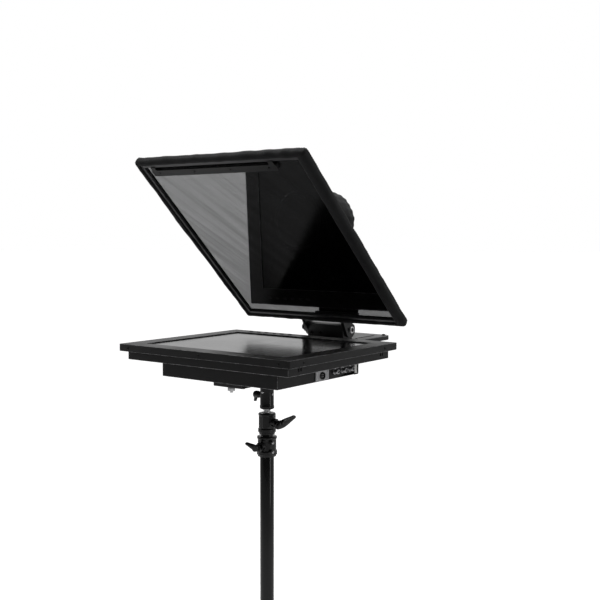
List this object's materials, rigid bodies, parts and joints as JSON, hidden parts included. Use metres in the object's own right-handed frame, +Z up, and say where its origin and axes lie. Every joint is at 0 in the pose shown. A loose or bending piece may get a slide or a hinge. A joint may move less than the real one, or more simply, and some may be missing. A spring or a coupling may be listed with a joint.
{
  "type": "teleprompter",
  "caption": "Free-standing teleprompter: flat monitor on a folding tripod stand, tilted beam-splitter glass with a black fabric hood and lens sleeve behind it.",
  "frame": {"origin": "on the floor, on the axis of the stand column, which is the middle of the footprint", "axes": "+Z up, -Y towards the presenter, +Y towards the camera, +X to the right of someone who faces the screen"},
  "size_m": [0.7142, 0.82, 1.3914],
  "materials": {
    "housing": "fine satin black powder coat",
    "screen": "glossy black panel glass",
    "button_plastic": "moulded black",
    "bright_plate": "nickel plate",
    "socket_plastic": "moulded black",
    "rocker": "gloss white",
    "circuit_board": "green solder mask",
    "cast_black": "satin black casting",
    "gloss_tube": "gloss black",
    "rubber": "matt",
    "frame_black": "black anodised",
    "beamsplitter": "half-silvered glass, clear",
    "hood_cloth": "close-woven black nylon",
    "grey_aluminium": "dark grey anodised"
  },
  "bodies": {
    "stand_column": {"column": "gloss_tube", "lower_collar": "cast_black", "base_hub": "cast_black"},
    "riser_lower": {"riser_lower": "gloss_tube", "upper_collar": "cast_black"},
    "riser_upper": {"riser_upper": "gloss_tube", "spigot": "bright_plate"},
    "head": {"monitor_bezel": "housing", "monitor_chassis": "housing", "lcd_panel": "screen", "electronics_box": "housing", "connector_plate": "bright_plate", "power_socket": "socket_plastic", "video_socket_1": "bright_plate", "video_socket_2": "bright_plate", "video_socket_3": "bright_plate", "controller_board": "circuit_board", "mount_saddle": "cast_black", "saddle_nut": "bright_plate", "stud_receiver": "gloss_tube", "rear_link_bracket": "cast_black", "base_plate": "grey_aluminium", "tilt_block": "cast_black", "tilt_pin": "bright_plate"},
    "glass_frame": {"frame_bottom_rail": "frame_black", "frame_top_rail": "frame_black", "frame_right_rail": "frame_black", "frame_left_rail": "frame_black", "beamsplitter_glass": "beamsplitter", "upper_glass_clamp": "frame_black", "hood": "hood_cloth", "neck_ring": "socket_plastic", "hood_stay_left": "socket_plastic", "hood_stay_right": "socket_plastic", "lens_sleeve": "hood_cloth", "tilt_leaf": "cast_black"},
    "tilt_lever": {"tilt_lever": "cast_black"},
    "receiver_knob": {"receiver_knob": "cast_black"},
    "upper_handle": {"upper_handle": "cast_black"},
    "lower_handle": {"lower_handle": "cast_black"},
    "rocker_switch": {"rocker_switch": "rocker"},
    "button_1": {"button_1": "button_plastic"},
    "button_2": {"button_2": "button_plastic"},
    "button_3": {"button_3": "button_plastic"},
    "button_4": {"button_4": "button_plastic"},
    "button_5": {"button_5": "button_plastic"},
    "button_6": {"button_6": "button_plastic"},
    "leg_collar": {"leg_collar": "cast_black"},
    "base_knob": {"base_knob": "cast_black"},
    "leg_1": {"leg_1": "gloss_tube", "foot_1": "rubber"},
    "leg_2": {"leg_2": "gloss_tube", "foot_2": "rubber"},
    "leg_3": {"leg_3": "gloss_tube", "foot_3": "rubber"},
    "strut_1": {"strut_1": "gloss_tube"},
    "strut_2": {"strut_2": "gloss_tube"},
    "strut_3": {"strut_3": "gloss_tube"}
  },
  "joints": [
    {"name": "riser_lower_slide", "type": "slide", "parent": "stand_column", "child": "riser_lower", "axis": [0, 0, 1], "range_m": [0, 0.3]},
    {"name": "riser_upper_slide", "type": "slide", "parent": "riser_lower", "child": "riser_upper", "axis": [0, 0, 1], "range_m": [0, 0.28]},
    {"name": "head_swivel", "type": "hinge", "parent": "riser_upper", "child": "head", "pos_m": [0, 0, 0.87], "axis": [0, 0, 1], "continuous": true},
    {"name": "glass_tilt", "type": "hinge", "parent": "head", "child": "glass_frame", "pos_m": [0, 0.232, 1.014], "axis": [1, 0, 0], "range_deg": [-12, 6]},
    {"name": "tilt_lever_turn", "type": "hinge", "parent": "head", "child": "tilt_lever", "pos_m": [-0.065, 0.232, 1.014], "axis": [-1, 0, 0], "range_deg": [-90, 90]},
    {"name": "receiver_knob_turn", "type": "hinge", "parent": "head", "child": "receiver_knob", "pos_m": [-0.025, 0, 0.888], "axis": [-1, 0, 0], "range_deg": [-180, 180]},
    {"name": "upper_handle_turn", "type": "hinge", "parent": "riser_lower", "child": "upper_handle", "pos_m": [0.04, 0, 0.832], "axis": [1, 0, 0], "range_deg": [-180, 180]},
    {"name": "lower_handle_turn", "type": "hinge", "parent": "stand_column", "child": "lower_handle", "pos_m": [0, -0.04, 0.781], "axis": [0, -1, 0], "range_deg": [-180, 180]},
    {"name": "rocker_tilt", "type": "hinge", "parent": "head", "child": "rocker_switch", "pos_m": [0.1376, 0.134, 0.9435], "axis": [0, 1, 0], "range_deg": [-5, 5]},
    {"name": "button_1_press", "type": "slide", "parent": "head", "child": "button_1", "axis": [0, 0, -1], "range_m": [0, 0.0008], "stiffness_N_per_m": 300},
    {"name": "button_2_press", "type": "slide", "parent": "head", "child": "button_2", "axis": [0, 0, -1], "range_m": [0, 0.0008], "stiffness_N_per_m": 300},
    {"name": "button_3_press", "type": "slide", "parent": "head", "child": "button_3", "axis": [0, 0, -1], "range_m": [0, 0.0008], "stiffness_N_per_m": 300},
    {"name": "button_4_press", "type": "slide", "parent": "head", "child": "button_4", "axis": [0, 0, -1], "range_m": [0, 0.0008], "stiffness_N_per_m": 300},
    {"name": "button_5_press", "type": "slide", "parent": "head", "child": "button_5", "axis": [0, 0, -1], "range_m": [0, 0.0008], "stiffness_N_per_m": 300},
    {"name": "button_6_press", "type": "slide", "parent": "head", "child": "button_6", "axis": [0, 0, -1], "range_m": [0, 0.0008], "stiffness_N_per_m": 300},
    {"name": "leg_collar_slide", "type": "slide", "parent": "stand_column", "child": "leg_collar", "axis": [0, 0, 1], "range_m": [0, 0.232]},
    {"name": "base_knob_turn", "type": "hinge", "parent": "leg_collar", "child": "base_knob", "pos_m": [0, 0.04, 0.353], "axis": [0, 1, 0], "range_deg": [-180, 180]},
    {"name": "leg_1_fold", "type": "hinge", "parent": "leg_collar", "child": "leg_1", "pos_m": [0, -0.034, 0.35], "axis": [1, 0, 0], "range_deg": [0, 48.12]},
    {"name": "leg_2_fold", "type": "hinge", "parent": "leg_collar", "child": "leg_2", "pos_m": [0.02944, 0.017, 0.35], "axis": [-0.5, 0.866, 0], "range_deg": [0, 48.12]},
    {"name": "leg_3_fold", "type": "hinge", "parent": "leg_collar", "child": "leg_3", "pos_m": [-0.02944, 0.017, 0.35], "axis": [-0.5, -0.866, 0], "range_deg": [0, 48.12]},
    {"name": "strut_1_fold", "type": "hinge", "parent": "stand_column", "child": "strut_1", "pos_m": [0, -0.024, 0.13], "axis": [-1, 0, 0], "range_deg": [0, 72.36]},
    {"name": "strut_2_fold", "type": "hinge", "parent": "stand_column", "child": "strut_2", "pos_m": [0.02078, 0.012, 0.13], "axis": [0.5, -0.866, 0], "range_deg": [0, 72.36]},
    {"name": "strut_3_fold", "type": "hinge", "parent": "stand_column", "child": "strut_3", "pos_m": [-0.02078, 0.012, 0.13], "axis": [0.5, 0.866, 0], "range_deg": [0, 72.36]}
  ],
  "couplings": [
    {"joint": "leg_1_fold", "follows": "leg_collar_slide", "rad_per_m": 3.6047},
    {"joint": "leg_2_fold", "follows": "leg_collar_slide", "rad_per_m": 3.6047},
    {"joint": "leg_3_fold", "follows": "leg_collar_slide", "rad_per_m": 3.6047},
    {"joint": "strut_1_fold", "follows": "leg_collar_slide", "rad_per_m": 5.4282},
    {"joint": "strut_2_fold", "follows": "leg_collar_slide", "rad_per_m": 5.4282},
    {"joint": "strut_3_fold", "follows": "leg_collar_slide", "rad_per_m": 5.4282}
  ]
}
